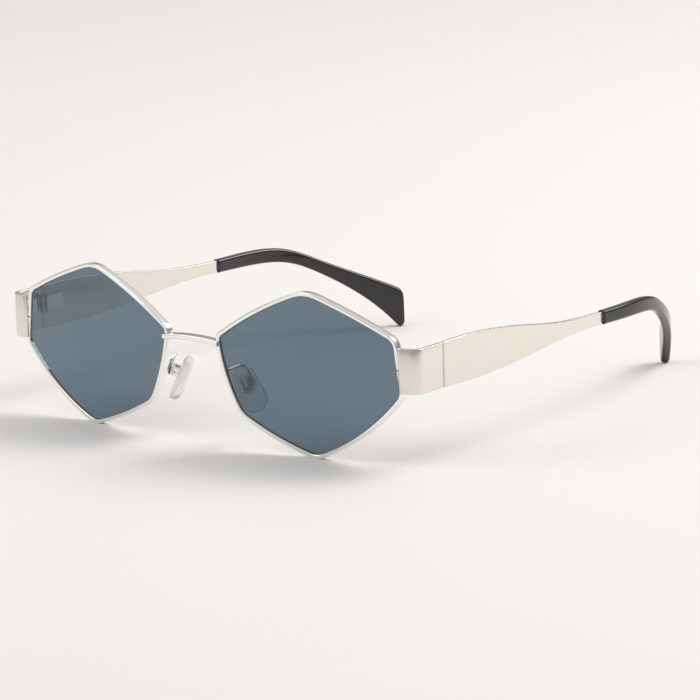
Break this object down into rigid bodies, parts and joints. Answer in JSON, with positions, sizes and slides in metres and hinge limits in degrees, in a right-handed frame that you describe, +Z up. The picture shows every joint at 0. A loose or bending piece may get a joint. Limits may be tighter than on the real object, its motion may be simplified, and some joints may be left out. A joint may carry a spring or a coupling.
{
  "type": "eyeglasses",
  "caption": "Hexagonal metal eyeglasses with tinted lenses, wide folding temples, black tips and clear nose pads.",
  "frame": {"origin": "on the table, midway between the sides and between the bridge and the temples' ends", "axes": "+X to the wearer's left, +Y back along the open temples, +Z up"},
  "size_m": [0.1414, 0.1406, 0.0432],
  "materials": {
    "polished_metal": "polished",
    "tinted_lens": "polished",
    "screw_steel": "turned",
    "black_acetate": "polished",
    "clear_silicone": "smooth"
  },
  "bodies": {
    "front_frame": {"bridge": "polished_metal", "left_rim": "polished_metal", "left_lens": "tinted_lens", "left_end_plate": "polished_metal", "left_rim_block_upper": "polished_metal", "left_rim_block_lower": "polished_metal", "left_rim_screw": "screw_steel", "left_front_hinge": "polished_metal", "left_hinge_screw": "screw_steel", "left_pad_arm": "polished_metal", "left_pad_box": "polished_metal", "left_pad_screw": "screw_steel", "right_rim": "polished_metal", "right_lens": "tinted_lens", "right_end_plate": "polished_metal", "right_rim_block_upper": "polished_metal", "right_rim_block_lower": "polished_metal", "right_rim_screw": "screw_steel", "right_front_hinge": "polished_metal", "right_hinge_screw": "screw_steel", "right_pad_arm": "polished_metal", "right_pad_box": "polished_metal", "right_pad_screw": "screw_steel"},
    "left_temple_arm": {"left_temple_hinge": "polished_metal", "left_temple": "polished_metal", "left_core_wire": "screw_steel", "left_temple_tip": "black_acetate"},
    "right_temple_arm": {"right_temple_hinge": "polished_metal", "right_temple": "polished_metal", "right_core_wire": "screw_steel", "right_temple_tip": "black_acetate"},
    "left_pad_unit": {"left_pad_insert": "screw_steel", "left_nose_pad": "clear_silicone"},
    "right_pad_unit": {"right_pad_insert": "screw_steel", "right_nose_pad": "clear_silicone"}
  },
  "joints": [
    {"name": "left_temple_fold", "type": "hinge", "parent": "front_frame", "child": "left_temple_arm", "pos_m": [0.06804, -0.05232, 0.02657], "axis": [0, 0, 1], "range_deg": [0, 82]},
    {"name": "right_temple_fold", "type": "hinge", "parent": "front_frame", "child": "right_temple_arm", "pos_m": [-0.06804, -0.05232, 0.02657], "axis": [0, 0, -1], "range_deg": [0, 73]},
    {"name": "left_pad_rock", "type": "hinge", "parent": "front_frame", "child": "left_pad_unit", "pos_m": [0.0132, -0.06168, 0.01632], "axis": [0.3731, 0.9063, 0.1984], "range_deg": [-12, 12]},
    {"name": "right_pad_rock", "type": "hinge", "parent": "front_frame", "child": "right_pad_unit", "pos_m": [-0.0132, -0.06168, 0.01632], "axis": [0.3731, -0.9063, -0.1984], "range_deg": [-12, 12]}
  ]
}
